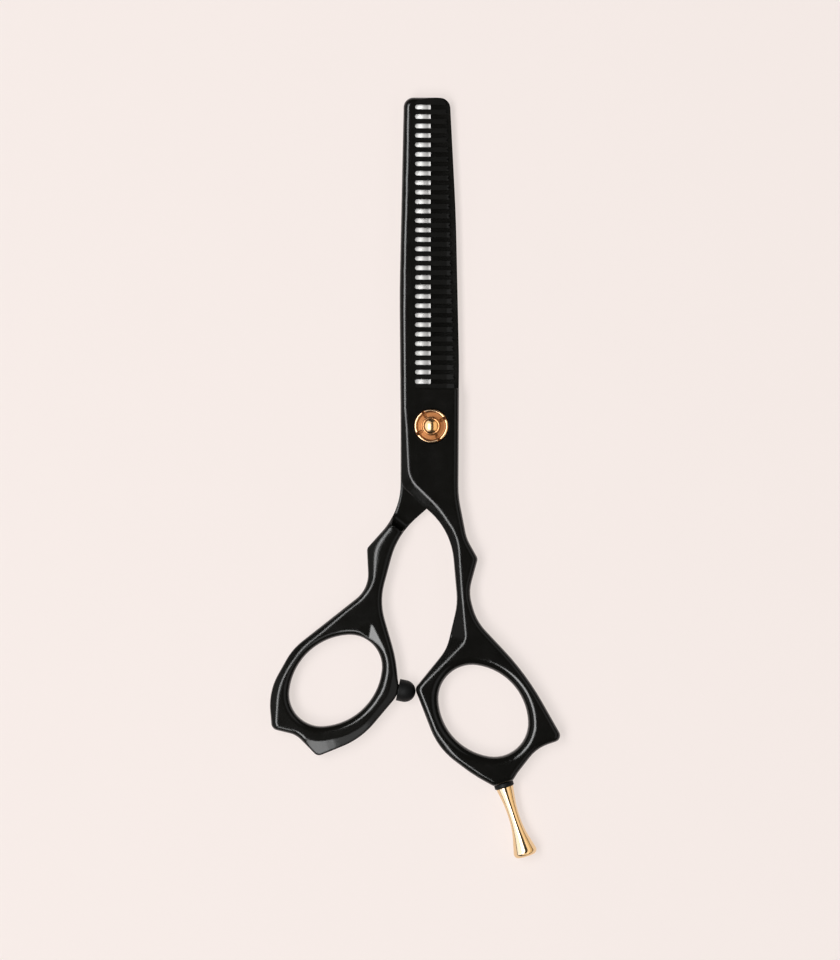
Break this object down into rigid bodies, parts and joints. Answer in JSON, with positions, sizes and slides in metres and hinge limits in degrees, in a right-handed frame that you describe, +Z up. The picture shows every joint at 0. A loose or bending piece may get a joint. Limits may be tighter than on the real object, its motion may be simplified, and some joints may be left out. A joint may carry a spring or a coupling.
{
  "type": "thinning shears",
  "caption": "Hand-held hair thinning shears: a comb blade and a plain blade on a pivot with a tension dial, offset finger rings, a finger rest and a rubber bumper.",
  "frame": {"origin": "on the pivot axis, at the flat back head of the pivot pin, in the plane that the shears lie on", "axes": "+Y towards the blade tips, +Z up along the pivot axis towards the tension dial, +X towards the side of the finger ring"},
  "size_m": [0.0646, 0.1695, 0.0067],
  "materials": {
    "black_coated_steel": "gloss",
    "black_coated_blade_steel": "gloss",
    "pin_metal": "polished",
    "rose_gold_metal": "polished",
    "spring_steel": "satin",
    "white_nylon": "matte",
    "bush_bronze": "satin",
    "washer_polymer": "matte",
    "black_rubber": "matte",
    "pale_gold_metal": "polished",
    "black_washer": "satin"
  },
  "bodies": {
    "finger_half": {"comb_blade": "black_coated_steel", "bearing_bush": "bush_bronze", "thrust_washer": "white_nylon", "finger_rest": "pale_gold_metal", "finger_rest_washer": "black_washer"},
    "thumb_half": {"plain_blade": "black_coated_blade_steel", "pivot_pin": "pin_metal", "blade_washer": "washer_polymer", "bumper": "black_rubber", "spring_washer": "spring_steel"},
    "dial": {"tension_dial": "rose_gold_metal"}
  },
  "joints": [
    {"name": "blade_open", "type": "hinge", "parent": "finger_half", "child": "thumb_half", "pos_m": [0, 0, 0], "axis": [0, 0, -1], "range_deg": [0, 137]},
    {"name": "dial_turn", "type": "hinge", "parent": "thumb_half", "child": "dial", "pos_m": [0, 0, 0], "axis": [0, 0, 1], "range_deg": [-90, 90]}
  ]
}
